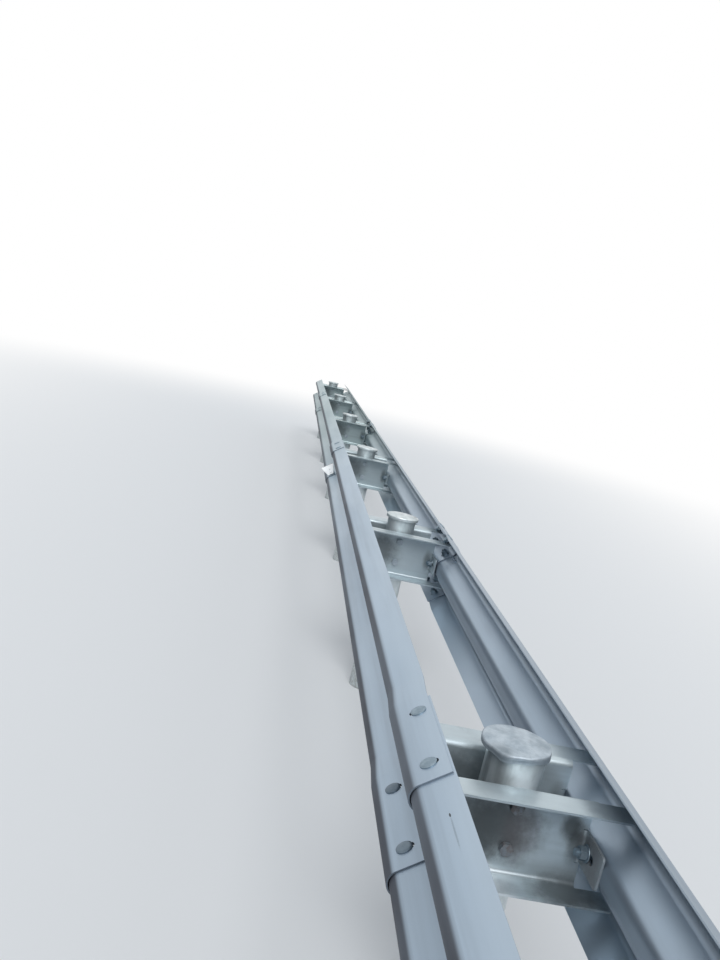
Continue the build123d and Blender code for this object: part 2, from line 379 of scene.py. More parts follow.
def drawSplash(tree, given):
    # grime thrown up from the road, thickest near the ground
    look = roadSplash
    ragged = lessHalf(tree, addNoise(tree, given["Place"], *look["ragged"]))
    level = doMath(tree, "MULTIPLY_ADD", ragged, look["raggedReach"], splitAxes(tree, given["Place"])["Z"])
    low = flip(tree, doRange(tree, level, 0.0, given["Reach"]))
    drops = addPatches(tree, given["Place"], *look["drops"])
    cover = doMath(tree, "MULTIPLY_ADD", drops, look["dropShare"], 1 - look["dropShare"])
    return doMath(tree, "MULTIPLY", low, cover)


# painted shade: how far faces that look sideways, down or towards -Y are darkened
paintedSideShade = {
    "lying": (0.52, 0.83), "drift": ((5.0, 4.0, 0.6), (0.3, 0.7)), "driftShare": 0.2,
    "outward": (-0.3, 0.3), "inwardShare": 0.40, "minusYFacing": (0.2, 0.5), "minusYShare": 0.38,
}


def drawSideShade(tree, given):
    # painted shade on faces that look sideways or down, less on those that look inwards, and on faces that
    # look towards -Y
    look = paintedSideShade
    normal = splitNormal(tree)
    notFacingUp = flip(tree, doRange(tree, normal["Z"], *look["lying"]))
    drift = addPatches(tree, given["Place"], *look["drift"])
    cover = doMath(tree, "MULTIPLY_ADD", drift, look["driftShare"], 1 - look["driftShare"])
    cover = doMath(tree, "MULTIPLY", notFacingUp, cover)
    side = doMath(tree, "SIGN", splitAxes(tree, given["Place"])["Y"])
    outward = doMath(tree, "MULTIPLY", normal["Y"], side)
    cover = doMath(tree, "MULTIPLY", cover, doRange(tree, outward, *look["outward"], look["inwardShare"]))
    minusYFacing = doMath(tree, "MULTIPLY", normal["Y"], -1.0)
    return doMath(tree, "MAXIMUM", cover, doRange(tree, minusYFacing, *look["minusYFacing"], 0.0, look["minusYShare"]))


rollingLines = {"lines": ((30.0, 3.0, 0.6), (0.42, 0.70)), "where": ((6.0, 2.0, 0.5), (0.35, 0.65))}


def drawLines(tree, given):
    # faint lines left by the rolls, long in the direction that Place is squeezed
    lines = addPatches(tree, given["Place"], *rollingLines["lines"])
    return doMath(tree, "MULTIPLY", lines, addPatches(tree, given["Place"], *rollingLines["where"]))


softSpot = {"ragged": (26.0, 6.0, 0.68), "raggedReach": 0.85, "edge": (0.35, 1.2)}


def drawSpot(tree, given):
    # one soft, ragged spot, Size across each way from Centre, for stains, painted shade and painted
    # highlights
    away = doVector(tree, "SUBTRACT", given["Place"], given["Centre"])
    away = lengthOf(tree, doVector(tree, "DIVIDE", away, given["Size"]))
    ragged = lessHalf(tree, addNoise(tree, given["Place"], *softSpot["ragged"]))
    reach = doMath(tree, "MULTIPLY_ADD", ragged, softSpot["raggedReach"], away)
    return flip(tree, doRange(tree, reach, *softSpot["edge"]))


zincGroup = makeZincGroup()
dustGroup = makeMaskGroup("settledDust", drawDust, {})
splashGroup = makeMaskGroup("roadSplash", drawSplash, {"Reach": "Float"})
sideShadeGroup = makeMaskGroup("paintedSideShade", drawSideShade, {})
lineGroup = makeMaskGroup("rollingLines", drawLines, {})
spotGroup = makeMaskGroup("softSpot", drawSpot, {"Centre": "Vector", "Size": "Vector"})

finishes = {
    "railZinc": {
        "bright": (0.405, 0.50, 0.60), "dull": (0.345, 0.43, 0.52), "edge": (0.95, 0.98, 1.0),
        "crystal": 0.010, "patch": 0.30, "contrast": 0.08, "satin": 0.34, "metal": 0.66,
        "stretch": (0.2, 1, 1), "rolled": (0.03, 1, 1), "lines": 0.13, "sideShade": 1.0, "dust": 0.05,
        "splashReach": 0.40, "splash": 0.06, "aged": 0.60, "lighterTop": 0.22, "bump": 0.02,
    },
    "channelZinc": {
        "bright": (0.60, 0.69, 0.73), "dull": (0.45, 0.53, 0.575), "edge": (1.0, 1.0, 1.0),
        "crystal": 0.016, "patch": 0.14, "contrast": 0.08, "satin": 0.36, "metal": 0.62,
        "stretch": (1, 0.45, 1), "rolled": (1, 0.05, 1), "lines": 0.20, "sideShade": 0.25, "dust": 0.04,
        "splashReach": 0.40, "splash": 0.08, "aged": 0.36, "lighterTop": 0.0, "bump": 0.02,
    },
    "postZinc": {
        "bright": (0.76, 0.82, 0.84), "dull": (0.44, 0.51, 0.53), "edge": (1.0, 1.0, 1.0),
        "crystal": 0.013, "patch": 0.05, "contrast": 0.16, "satin": 0.38, "metal": 0.62,
        "stretch": (1, 1, 0.35), "rolled": (1, 1, 0.05), "lines": 0.55, "sideShade": 0.0, "dust": 0.05,
        "splashReach": 0.40, "splash": 0.55, "aged": 0.0, "lighterTop": 0.0, "bump": 0.14,
    },
    "capZinc": {
        "bright": (0.55, 0.62, 0.68), "dull": (0.31, 0.375, 0.43), "edge": (0.9, 0.94, 0.97),
        "crystal": 0.006, "patch": 0.030, "contrast": 0.16, "satin": 0.44, "metal": 0.60,
        "stretch": (1, 1, 1), "rolled": (1, 1, 1), "lines": 0.30, "sideShade": 0.25, "dust": 0.06,
        "splashReach": 0.30, "splash": 0.0, "aged": 0.0, "lighterTop": 0.0, "bump": 0.40,
    },
    "boltZinc": {
        "bright": (0.335, 0.415, 0.475), "dull": (0.205, 0.27, 0.32), "edge": (0.8, 0.86, 0.92),
        "crystal": 0.004, "patch": 0.02, "contrast": 0.25, "satin": 0.38, "metal": 0.78,
        "stretch": (1, 1, 1), "rolled": (1, 1, 1), "lines": 0.0, "sideShade": 0.2, "dust": 0.03,
        "splashReach": 0.45, "splash": 0.2, "aged": 0.0, "lighterTop": 0.0, "bump": 0.30,
    },
}
# heights and places along the run between which a tint sets in, and how far dirt and the painted shade dull,
# lift or roughen
weather = {
    "lighterTopFrom": (0.705, 0.745), "agedFrom": (-1.8, 2.5), "sideShadeRough": 0.8, "dirtRough": 0.4,
    "dirtHeight": 0.2, "spotDull": 0.6, "markRough": 0.3, "bumpDistance": 0.001,
}
dustTone = (0.41, 0.43, 0.44, 1)
# painted shade colour, also the colour of the rolling lines
lineAndShadeTone = (0.066, 0.072, 0.088, 1)
splashTone = (0.19, 0.175, 0.155, 1)
rustTone = (0.115, 0.088, 0.080, 1)
# painted shade colour
shadeTone = (0.056, 0.068, 0.074, 1)
# cooler painted shade colour
coolShadeTone = (0.052, 0.078, 0.110, 1)
agedTone = (0.245, 0.350, 0.320, 1)
# brown for a patch on the nearest web and for the tab's inner face
brownTone = (0.110, 0.085, 0.088, 1)
# the lighter tone towards the rails' top
lighterTopTone = (0.62, 0.72, 0.80, 1)
# painted highlight colour
paleTone = (0.80, 0.87, 0.91, 1)

# painted shade, painted highlights and stains: tone, middle, size and strength; the channels' first two run
# along all bays, the others lie round the nearest post
shadeAndStains = {
    "channelZinc": (
        # painted shade: the darker left half of every web
        (shadeTone, (0.0, 0.078, 0.606), (40.0, 0.095, 0.080), 0.75),
        # painted shadow on every web beside the right rail's tab
        (shadeTone, (0.0, -0.126, 0.602), (40.0, 0.018, 0.045), 0.55),
        # painted shade, darker still, on the nearest web's left half
        (shadeTone, (-4.079, 0.030, 0.612), (0.030, 0.100, 0.090), 0.88),
        # a brown patch on the nearest web between its bolts
        (brownTone, (-4.079, -0.022, 0.600), (0.030, 0.046, 0.080), 0.34),
        # painted shadow on the nearest web beside the tab
        (shadeTone, (-4.079, -0.114, 0.632), (0.030, 0.024, 0.034), 0.80),
        # painted shade on the right end of the nearest top flange
        (coolShadeTone, (-4.105, -0.162, 0.690), (0.060, 0.060, 0.030), 0.55),
        # the tab's inner face darker and browner: partly dirt, partly painted shade
        (brownTone, (-4.125, -0.140, 0.605), (0.060, 0.020, 0.065), 0.60),
        # painted highlight on the left of the nearest bottom flange
        (paleTone, (-4.105, 0.065, 0.512), (0.080, 0.095, 0.030), 0.95),
        # painted shade on the right of the nearest bottom flange
        (shadeTone, (-4.105, -0.120, 0.512), (0.080, 0.085, 0.030), 0.80),
    ),
    "postZinc": (
        # painted shade on the nearest post's upper left side
        (shadeTone, (-4.030, 0.050, 0.700), (0.030, 0.026, 0.070), 0.40),
        # painted highlight on the nearest post's near face
        (paleTone, (-4.057, -0.010, 0.664), (0.030, 0.036, 0.060), 0.95),
    ),
    "capZinc": (
        # painted shade on the battered cap's near left rim
        (shadeTone, (-4.046, 0.050, 0.738), (0.030, 0.030, 0.020), 0.40),
        # faint painted shade on the battered cap's right side
        (shadeTone, (-4.004, -0.046, 0.748), (0.026, 0.018, 0.020), 0.16),
    ),
    "boltZinc": (
        # painted shade on the lower lobe's splice heads at the nearest lap
        (coolShadeTone, (-3.896, 0.190, 0.552), (0.040, 0.040, 0.040), 0.60),
        (coolShadeTone, (-4.104, 0.190, 0.552), (0.040, 0.040, 0.040), 0.50),
    ),
}


def placeMapping(tree, place, scale):
    made = addNode(tree, "ShaderNodeMapping")
    feed(tree, place, made.inputs["Vector"])
    made.inputs["Scale"].default_value = scale
    return made.outputs[0]


def makeZincFinish(name, title=None, marks=()):
    look = finishes[name]
    finish, tree, shader, place = startFinish(title or name)
    shader.inputs["Specular Tint"].default_value = (*look["edge"], 1)
    drawn = placeMapping(tree, place, look["stretch"])
    rolled = placeMapping(tree, place, look["rolled"])
    zinc = useGroup(
        tree, zincGroup, Place=drawn, Bright=(*look["bright"], 1), Dull=(*look["dull"], 1),
        Crystal=look["crystal"], Patch=look["patch"], Contrast=look["contrast"], Satin=look["satin"],
    )
    dust = useGroup(tree, dustGroup, Place=place, Amount=look["dust"])["Mask"]
    splash = useGroup(
        tree, splashGroup, Place=place, Reach=look["splashReach"], Amount=look["splash"]
    )["Mask"]
    # painted shade on faces that look sideways or down
    sideShade = useGroup(tree, sideShadeGroup, Place=drawn, Amount=look["sideShade"])["Mask"]
    lines = useGroup(tree, lineGroup, Place=rolled, Amount=look["lines"])["Mask"]
    axes = splitAxes(tree, place)
    # the rails lighter towards their top edge
    lighterTop = doRange(tree, axes["Z"], *weather["lighterTopFrom"], 0.0, look["lighterTop"])
    aged = doRange(tree, axes["X"], *weather["agedFrom"], 0.0, look["aged"])
    color = zinc["Color"]
    for share, tone in (
        (lighterTop, lighterTopTone), (aged, agedTone), (lines, lineAndShadeTone), (sideShade, lineAndShadeTone), (dust, dustTone),
        (splash, splashTone),
    ):
        color = mixTone(tree, share, color, tone)
    dirtAndShade = doMath(tree, "MAXIMUM", dust, splash)
    dull = doMath(tree, "MAXIMUM", dirtAndShade, doMath(tree, "MULTIPLY", sideShade, weather["sideShadeRough"]))
    rough = doMath(tree, "MULTIPLY_ADD", dull, weather["dirtRough"], zinc["Roughness"], clamp=True)
    height = doMath(tree, "MULTIPLY_ADD", dirtAndShade, weather["dirtHeight"], zinc["Height"])
    # painted shade, painted highlights and stains, each also dulling the zinc
    for tone, middle, size, amount in shadeAndStains.get(name, ()):
        spot = useGroup(tree, spotGroup, Place=place, Centre=middle, Size=size, Amount=amount)["Mask"]
        color = mixTone(tree, spot, color, tone)
        dirtAndShade = doMath(tree, "MAXIMUM", dirtAndShade, doMath(tree, "MULTIPLY", spot, weather["spotDull"]))
    for mark, tone, dent in marks:
        spot = mark(tree, place)
        color = mixTone(tree, spot, color, tone)
        rough = doMath(tree, "MULTIPLY_ADD", spot, weather["markRough"], rough, clamp=True)
        height = doMath(tree, "MULTIPLY_ADD", spot, dent, height)
        dirtAndShade = doMath(tree, "MAXIMUM", dirtAndShade, spot)
    feed(tree, color, shader.inputs["Base Color"])
    feed(tree, rough, shader.inputs["Roughness"])
    feed(tree, doMath(tree, "MULTIPLY", flip(tree, dirtAndShade), look["metal"]), shader.inputs["Metallic"])
    addBump(tree, shader, height, look["bump"], weather["bumpDistance"])
    return finish


# the dark nick on the nearest left panel's upper lobe, with a faint scratch running from it
nick = {
    "centre": (-4.275, 0.179, 0.724), "size": (0.007, 0.0018, 0.0018), "edge": (0.6, 1.1),
    "ragged": (300.0, 3.0, 0.55), "raggedReach": 0.9, "dent": -1.5,
    "scratchLength": 0.095, "scratchSize": (0.0016, 0.0022), "scratchEdge": (0.4, 1.3), "scratch": 0.28,
}
boltRust = {"patches": ((70.0, 4.0, 0.6), (0.35, 0.65)), "spread": 0.45, "least": 0.40, "lift": 0.4}


def markNick(tree, place):
    ragged = lessHalf(tree, addNoise(tree, place, *nick["ragged"]))
    ragged = doMath(tree, "MULTIPLY", ragged, nick["raggedReach"])

    def drawSpan(away, size, edge):
        reach = lengthOf(tree, doVector(tree, "DIVIDE", away, size))
        return flip(tree, doRange(tree, doMath(tree, "ADD", reach, ragged), *edge))

    half = nick["scratchLength"] / 2
    away = doVector(tree, "SUBTRACT", place, nick["centre"])
    gouge = drawSpan(away, nick["size"], nick["edge"])
    along = doVector(tree, "ADD", away, (half, 0, 0))
    line = drawSpan(along, (half, *nick["scratchSize"]), nick["scratchEdge"])
    return doMath(tree, "MAXIMUM", gouge, doMath(tree, "MULTIPLY", line, nick["scratch"]), clamp=True)


def markBoltRust(tree, place):
    patches = addPatches(tree, place, *boltRust["patches"])
    return doMath(tree, "MULTIPLY_ADD", patches, boltRust["spread"], boltRust["least"], clamp=True)


nickTone = (0.045, 0.05, 0.055, 1)
# postZinc is also for the plain caps, capZinc for the battered cap and the other posts' bolts
railZinc = makeZincFinish("railZinc", marks=[(markNick, nickTone, nick["dent"])])
channelZinc = makeZincFinish("channelZinc")
postZinc = makeZincFinish("postZinc")
capZinc = makeZincFinish("capZinc")
boltZinc = makeZincFinish("boltZinc")
rustyBolt = makeZincFinish("boltZinc", "rustyBolt", [(markBoltRust, rustTone, boltRust["lift"])])

sheeting = {
    "white": (0.90, 0.92, 0.93, 1), "shade": (0.76, 0.79, 0.81, 1), "paintedGlow": 0.28,
    "cell": 0.0035, "uneven": 0.15, "seam": (0.02, 0.10), "seamShade": 0.5, "seamRough": 0.1,
    "grime": ((45.0, 5.0, 0.65), (0.45, 0.8)), "grimeShade": 0.12, "grimeRough": 0.25, "dust": 0.15,
    "rough": 0.28, "bump": 0.3, "bumpDistance": 0.0003,
}


def makeSheetingFinish():
    # white reflective sheeting: six-sided cells under a clear gloss, with a painted glow of its own colour
    look = sheeting
    finish, tree, shader, place = startFinish("reflectorSheeting")
    # painted light: the sheeting glows in its own colour
    shader.inputs["Emission Strength"].default_value = look["paintedGlow"]
    cells = addNode(tree, "ShaderNodeTexVoronoi", feature="DISTANCE_TO_EDGE")
    feed(tree, place, cells.inputs["Vector"])
    cells.inputs["Scale"].default_value = 1 / look["cell"]
    cells.inputs["Randomness"].default_value = look["uneven"]
    seam = flip(tree, doRange(tree, cells.outputs["Distance"], *look["seam"]))
    grime = addPatches(tree, place, *look["grime"])
    dust = useGroup(tree, dustGroup, Place=place, Amount=look["dust"])["Mask"]
    color = mixTone(tree, doMath(tree, "MULTIPLY", seam, look["seamShade"]), look["white"], look["shade"])
    color = mixTone(tree, doMath(tree, "MULTIPLY", grime, look["grimeShade"]), color, dustTone)
    color = mixTone(tree, dust, color, dustTone)
    feed(tree, color, shader.inputs["Base Color"])
    feed(tree, color, shader.inputs["Emission Color"])
    rough = doMath(tree, "MULTIPLY_ADD", grime, look["grimeRough"], look["rough"])
    feed(tree, doMath(tree, "MULTIPLY_ADD", seam, look["seamRough"], rough), shader.inputs["Roughness"])
    addBump(tree, shader, doMath(tree, "MULTIPLY", seam, -1.0), look["bump"], look["bumpDistance"])
    return finish


housing = {
    "plastic": (0.70, 0.72, 0.72, 1), "chalky": (0.80, 0.81, 0.80, 1),
    "chalk": ((60.0, 5.0, 0.6), (0.4, 0.75)), "grain": (900.0, 2.0, 0.5), "dust": 0.6,
    "rough": 0.5, "chalkRough": 0.2, "bump": 0.25, "bumpDistance": 0.0003,
}


def makeHousingFinish():
    # moulded plastic of the delineator, chalked by the weather
    look = housing
    finish, tree, shader, place = startFinish("delineatorPlastic")
    chalk = addPatches(tree, place, *look["chalk"])
    dust = useGroup(tree, dustGroup, Place=place, Amount=look["dust"])["Mask"]
    color = mixTone(tree, chalk, look["plastic"], look["chalky"])
    feed(tree, mixTone(tree, dust, color, dustTone), shader.inputs["Base Color"])
    rough = doMath(tree, "MULTIPLY_ADD", chalk, look["chalkRough"], look["rough"])
    feed(tree, rough, shader.inputs["Roughness"])
    addBump(tree, shader, addNoise(tree, place, *look["grain"]), look["bump"], look["bumpDistance"])
    return finish


reflectorSheeting = makeSheetingFinish()
delineatorPlastic = makeHousingFinish()


def finishFor(name):
    if name.startswith("rail"):
        return railZinc
    if name.startswith("channel"):
        return channelZinc
    if name.startswith(("post", "cap")):
        return postZinc
    if name == "delineator_body":
        return delineatorPlastic
    # the delineator's bracket
    return boltZinc


for name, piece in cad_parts.items():
    for slot in piece.material_slots:
        slot.material = finishFor(name)
print("finishes made and given to the workshop pieces")


# fasteners, each modelled once along +Z with its seat at the origin

threadCut = {"pitch": 0.002, "depth": 0.0011, "turns": 6, "end": 0.001, "point": 0.86}
spliceBolt = {
    "across": 0.033, "rim": 0.0018, "rise": 0.0026, "shank": 0.016,
    "domeRings": 4, "domeTurn": math.radians(84), "sides": 28,
}
tabBolt = {**spliceBolt, "rise": 0.0030}
postBolt = {"flats": 0.024, "height": 0.010, "shank": 0.016, "sides": 24, "stub": (-0.0005, 0.0015)}
postWasher = {"across": 0.030, "thick": 0.0025, "sides": 32, "edge": 0.0006}
nutSize = {"flats": 0.024, "height": 0.013, "bore": 0.016, "face": 0.437, "lip": 0.0012}
washerSize = {"across": 0.034, "thick": 0.003, "sides": 32, "edge": 0.0006}
plateWasher = {
    "length": 0.064, "width": 0.024, "thick": 0.003, "corner": 0.004, "edge": 0.0005, "seat": 0.0011,
}
# the barrel that chamfers a hexagon: its size over the corners, its ends, and where it is full width
hexBarrel = {
    "sides": 36, "wide": 1.005, "tall": 1.001, "ends": 0.875, "band": (0.14, 0.86), "full": (0.1, 0.9),
}
pastNut = {"rails": 0.008, "post": 0.006}


def growShank(radius, reach):
    # from the face that is picked, a plain shank and then the thread down to its end
    threaded = threadCut["pitch"] * threadCut["turns"]
    pushOut(-(reach - threaded - threadCut["end"]))
    valley = (radius - threadCut["depth"]) / radius
    for turn in range(threadCut["turns"]):
        pushOut(-threadCut["pitch"] / 2)
        widen(valley)
        pushOut(-threadCut["pitch"] / 2)
        widen(1 / valley)
    pushOut(-threadCut["end"])
    widen(threadCut["point"])


def makeButtonBolt(name, size, reach):
    radius = size["across"] / 2
    bolt = addCylinder(size["sides"], radius, size["rim"], size["rim"] / 2)
    startEdit(bolt)
    pickFaces(bolt, facing(1))
    lastRadius, lastRise = radius, 0.0
    for ring in range(1, size["domeRings"] + 1):
        angle = size["domeTurn"] * ring / size["domeRings"]
        ringRadius, ringRise = radius * math.cos(angle), size["rise"] * math.sin(angle)
        bpy.ops.mesh.inset(thickness=lastRadius - ringRadius, depth=ringRise - lastRise)
        lastRadius, lastRise = ringRadius, ringRise
    pickFaces(bolt, facing(-1))
    bpy.ops.mesh.inset(thickness=radius - size["shank"] / 2, depth=0.0)
    growShank(size["shank"] / 2, reach)
    endEdit()
    settleMesh(bolt, 40)
    bolt.name = name
    return bolt


def makeHexBody(name, flats, height):
    corner = flats / math.sqrt(3)
    wide = corner * hexBarrel["wide"]
    prism = addCylinder(6, corner, height, height / 2)
    barrel = addCylinder(hexBarrel["sides"], wide, height * hexBarrel["tall"], height / 2)
    startEdit(barrel)
    for side in (1, -1):
        pickFaces(barrel, facing(side))
        widen(hexBarrel["ends"])
    for level in hexBarrel["band"]:
        bpy.ops.mesh.select_all(action="SELECT")
        bpy.ops.mesh.bisect(plane_co=(0, 0, height * level), plane_no=(0, 0, 1))
    mesh = bmesh.from_edit_mesh(barrel.data)
    low, high = hexBarrel["full"]
    for vert in mesh.verts:
        if height * low < vert.co.z < height * high:
            vert.co.xy *= wide / vert.co.xy.length
    bmesh.update_edit_mesh(barrel.data)
    endEdit()
    cut = prism.modifiers.new("cut", "BOOLEAN")
    cut.operation = "INTERSECT"
    cut.object = barrel
    cut.solver = "EXACT"
    pickOnly(prism)
    bpy.ops.object.modifier_apply(modifier="cut")
    bpy.data.objects.remove(barrel)
    prism.name = name
    settleMesh(prism, 20)
    return prism


def makeNut(name, size):
    nut = makeHexBody(name, size["flats"], size["height"])
    startEdit(nut)
    pickFaces(nut, facing(1, 0.99))
    rim = size["flats"] * size["face"] - size["bore"] / 2 - size["lip"]
    bpy.ops.mesh.inset(thickness=rim, depth=0.0)
    bpy.ops.mesh.inset(thickness=size["lip"], depth=-size["lip"])
    endEdit()
    return nut


def makeHexBolt(name, size, reach):
    head = makeHexBody(name, size["flats"], size["height"])
    low, high = size["stub"]
    shank = addCylinder(size["sides"], size["shank"] / 2, high - low, (low + high) / 2)
    startEdit(shank)
    pickFaces(shank, facing(-1))
    growShank(size["shank"] / 2, reach)
    endEdit()
    settleMesh(shank, 40)
    return joinAs(name, [head, shank])


def makeRoundWasher(name, size):
    washer = addCylinder(size["sides"], size["across"] / 2, size["thick"], size["thick"] / 2)
    startEdit(washer, "EDGE")
    pickEdges(washer, lambda edge: riseOf(edge) < 0.0001)
    bpy.ops.mesh.bevel(offset=size["edge"], segments=2)
    endEdit()
    settleMesh(washer)
    washer.name = name
    return washer


def makePlateWasher(name, size):
    plate = addBlock((size["length"], size["width"], size["thick"]), size["thick"] / 2)
    startEdit(plate, "EDGE")
    pickEdges(plate, lambda edge: riseOf(edge) > size["thick"] / 2)
    bpy.ops.mesh.bevel(offset=size["corner"], segments=4)
    # the right-angled edges, not those within a rounded corner
    pickEdges(plate, lambda edge: edge.calc_face_angle(0) > 1.2)
    bpy.ops.mesh.bevel(offset=size["edge"], segments=2)
    endEdit()
    settleMesh(plate)
    plate.name = name
    return plate


# what each bolt goes through, and its length under the head
lapPacking = run["railSheet"] * 2 + run["lapGap"]
spliceReach = lapPacking + washerSize["thick"] + nutSize["height"] + pastNut["rails"]
tabPacking = run["railBack"] + run["railSheet"] + plateWasher["seat"] + plateWasher["thick"] - run["tabFace"]
tabReach = tabPacking + washerSize["thick"] + nutSize["height"] + pastNut["rails"]
postReach = 2 * run["webFace"] + postWasher["thick"] + nutSize["height"] + pastNut["post"]

patterns = {
    "splice": makeButtonBolt("patternSplice", spliceBolt, spliceReach),
    "tab": makeButtonBolt("patternTab", tabBolt, tabReach),
    "tabLap": makeButtonBolt("patternTabLap", tabBolt, tabReach + run["lapStep"]),
    "post": makeHexBolt("patternPost", postBolt, postReach),
    "nut": makeNut("patternNut", nutSize),
    "washer": makeRoundWasher("patternWasher", washerSize),
    "postWasher": makeRoundWasher("patternPostWasher", postWasher),
    "plateWasher": makePlateWasher("patternPlateWasher", plateWasher),
}
print("fastener patterns modelled:", ", ".join(patterns))


# splice bolts at the laps: one on each slope, in two columns

lap = {
    "column": 0.104,
    "outer": (0.03409, 0.11993, 1),   # depth, rise and lean at the slots' middles
    "inner": (0.03828, 0.04813, -1),
    "slack": 0.0047,                  # how far a bolt sits off its slot's middle
}
# the nearest lap's bolts, as they sit in the photograph: column, lobe, slope and way off the middle
nearSlack = {(1, 1, "outer"): 1, (-1, 1, "outer"): -1, (1, -1, "inner"): 1, (-1, -1, "inner"): 1}
bracketBolt = (-1, -1, "inner")
dice = random.Random(11)


def faceSide(index, side):
    # the frame of one post, turned round for the right rail
    turned = Matrix.Identity(4) if side > 0 else Matrix.Rotation(math.pi, 4, "Z")
    return Matrix.Translation((postX(index), 0, 0)) @ turned


def boltStack(bolt, where, front, back, axis, turn):
    nutSeat = back - axis * washerSize["thick"]
    return [
        placeCopy(patterns[bolt], where @ seatAt(front, axis, turn)),
        placeCopy(patterns["washer"], where @ seatAt(back, -axis, turn)),
        placeCopy(patterns["nut"], where @ seatAt(nutSeat, -axis, turn)),
    ]


def spliceSet(index, side):
    pieces = []
    for column, lobe, slope in product((1, -1), (1, -1), ("outer", "inner")):
        depth, rise, lean = lap[slope]
        normal = Vector((0, slopeCos, lobe * lean * slopeSin))
        along = Vector((0, -lean * slopeSin, lobe * slopeCos))
        slack = dice.choice((1, -1, 0.6, -0.6))
        if index == run["nearPost"]:
            slack = nearSlack.get((column, lobe, slope), slack)
        bracket = 0.0
        if side > 0 and index == run["middlePost"] and (column, lobe, slope) == bracketBolt:
            slack, bracket = 0.0, run["bracketSheet"]
        middle = Vector((column * lap["column"], run["railBack"] + depth, run["railMiddle"] + lobe * rise))
        back = middle + along * lap["slack"] * slack - normal * run["railSheet"] / 2
        front = back + normal * (lapPacking + bracket)
        pieces += boltStack("splice", faceSide(index, side), front, back, normal, dice.uniform(0, math.tau))
    return pieces


def tabSet(index, side, lapped):
    # the bolts that hold the channels' tabs to the rail
    pieces = []
    where = faceSide(index, side)
    outward = Vector((0, 1, 0))
    step = run["lapStep"] if lapped else 0.0
    seat = run["railBack"] + run["railSheet"] + step + plateWasher["seat"]
    for end in (1, -1):
        x = end * run["tabBolt"]
        valley = Vector((x, seat, run["railMiddle"]))
        head = valley + outward * plateWasher["thick"]
        inside = Vector((x, run["tabFace"], run["railMiddle"]))
        turn = dice.uniform(0, math.tau)
        pieces.append(placeCopy(patterns["plateWasher"], where @ seatAt(valley, outward)))
        pieces += boltStack("tabLap" if lapped else "tab", where, head, inside, outward, turn)
    return pieces


def postSet(index):
    # the bolts that hold both channels to the post
    pieces = []
    ahead = Vector((1, 0, 0))
    for height in run["throughBolts"]:
        farWeb = Vector((postX(index) + run["webFace"], 0, height))
        nearWeb = Vector((postX(index) - run["webFace"], 0, height))
        nutSeat = farWeb + ahead * postWasher["thick"]
        turn = dice.uniform(0, math.tau)
        pieces.append(placeCopy(patterns["post"], seatAt(nearWeb, -ahead, turn)))
        pieces.append(placeCopy(patterns["postWasher"], seatAt(farWeb, ahead, turn)))
        pieces.append(placeCopy(patterns["nut"], seatAt(nutSeat, ahead, dice.uniform(0, math.tau))))
    return pieces


def finishFasteners(name, pieces, finish):
    joined = joinAs(name, pieces)
    joined.data.materials.clear()
    joined.data.materials.append(finish)
    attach(joined, "root")


for index in range(run["posts"]):
    finish = rustyBolt if index == run["nearPost"] else capZinc
    finishFasteners(f"post_bolts_{index}", postSet(index), finish)
    for rail, side, laps in rails:
        finishFasteners(f"tab_bolts_{rail}_{index}", tabSet(index, side, index in laps), boltZinc)
for rail, side, laps in rails:
    for index in laps:
        finishFasteners(f"splice_bolts_{rail}_{index}", spliceSet(index, side), boltZinc)
for pattern in patterns.values():
    bpy.data.objects.remove(pattern)
lapCount = sum(len(laps) for rail, side, laps in rails)
print("bolts, nuts and washers set at", run["posts"], "posts and", lapCount, "laps")


# the nearest post's cap, hammered on: its left near rim is driven down and in, its crown is lumpy
batteredCap = {
    "post": run["nearPost"], "radius": 0.068, "lean": 0.006, "rim": 0.737, "flat": 0.750, "sheet": 0.0022,
    "shoulder": 0.006, "underside": 0.746, "tube": 0.0582, "sides": 96, "cuts": (0.25, 0.5, 0.75),
    "rings": 11, "hub": 0.002, "crown": 0.0036, "crownHub": 0.012, "crownPower": 1.5,
    # direction from the middle in degrees, distance, reach and depth of each blow
    "blows": (
        (146, 0.066, 0.036, 0.0110), (183, 0.066, 0.020, 0.0040), (108, 0.066, 0.016, 0.0030),
        (236, 0.068, 0.034, 0.0060),
        (20, 0.046, 0.020, 0.0020), (318, 0.052, 0.018, 0.0022), (262, 0.048, 0.015, 0.0018),
        (222, 0.030, 0.015, 0.0016), (60, 0.024, 0.014, 0.0012), (352, 0.060, 0.014, 0.0016),
    ),
    "blowFall": 1.6, "skirt": 0.010, "crownDrop": 0.55,
    # direction, half width in degrees and how far the rim goes in
    "fold": (162, 58, 0.0058), "foldFall": 2.0,
    # depth and number of the rim's small waves
    "waves": (0.0010, 7),
}


